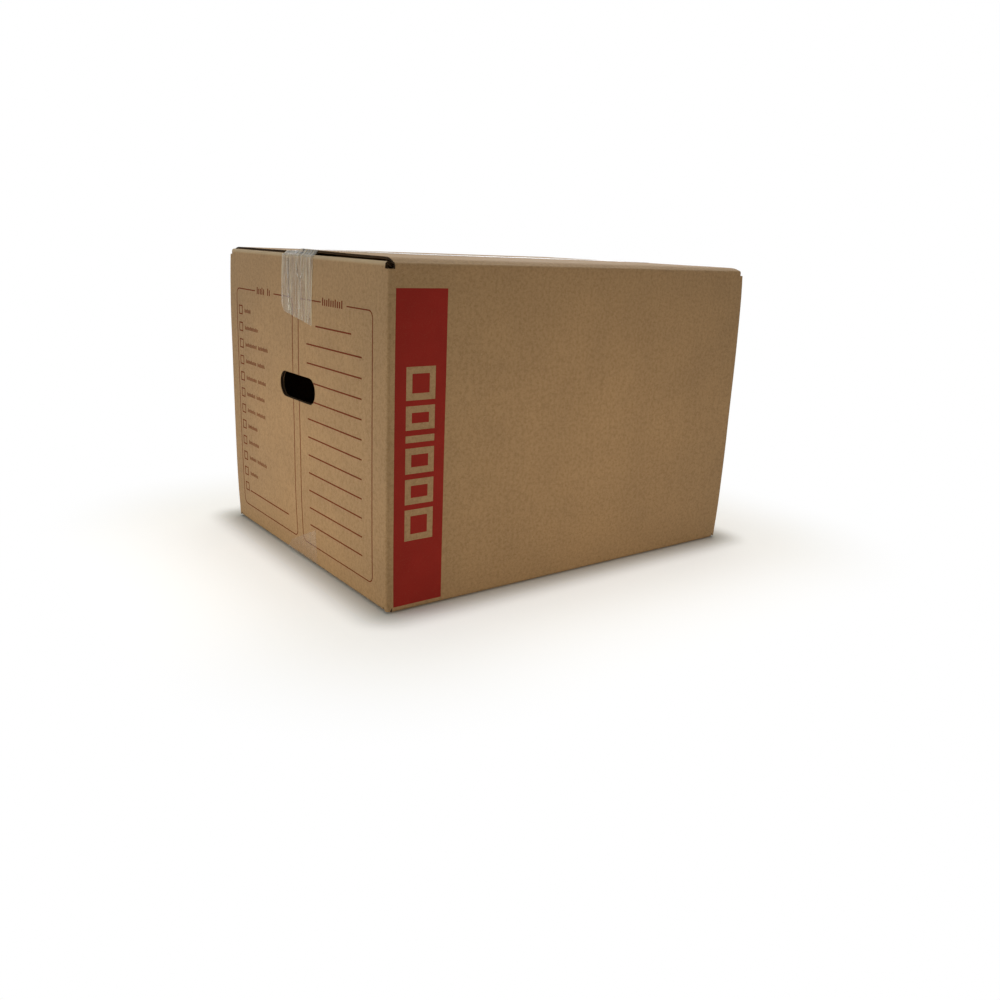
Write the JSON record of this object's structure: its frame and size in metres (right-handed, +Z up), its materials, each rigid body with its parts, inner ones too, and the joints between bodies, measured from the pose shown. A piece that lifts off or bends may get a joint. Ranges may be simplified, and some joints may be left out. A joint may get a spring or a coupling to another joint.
{
  "type": "moving box",
  "caption": "Medium corrugated moving carton with overlapping end and side flaps, taped shut, with a hand hole in each end and a printed form and colour band.",
  "frame": {"origin": "on the floor under the middle of the carton", "axes": "+X along the carton's length, +Y across it and +Z up; the printed end faces -X and the printed side faces -Y"},
  "size_m": [0.472, 0.3675, 0.3259],
  "materials": {
    "corrugated_board": "natural kraft liner with faint upright flutes",
    "packing_tape": "clear film with fine creases",
    "red_ink": "flat red ink printed on kraft"
  },
  "bodies": {
    "root": {"carton": "corrugated_board", "top_tape": "packing_tape", "bottom_tape": "packing_tape", "size_band_print": "red_ink", "contents_form_print_upper": "red_ink", "contents_form_print_lower": "red_ink", "room_form_print_upper": "red_ink", "room_form_print_lower": "red_ink"}
  },
  "joints": []
}
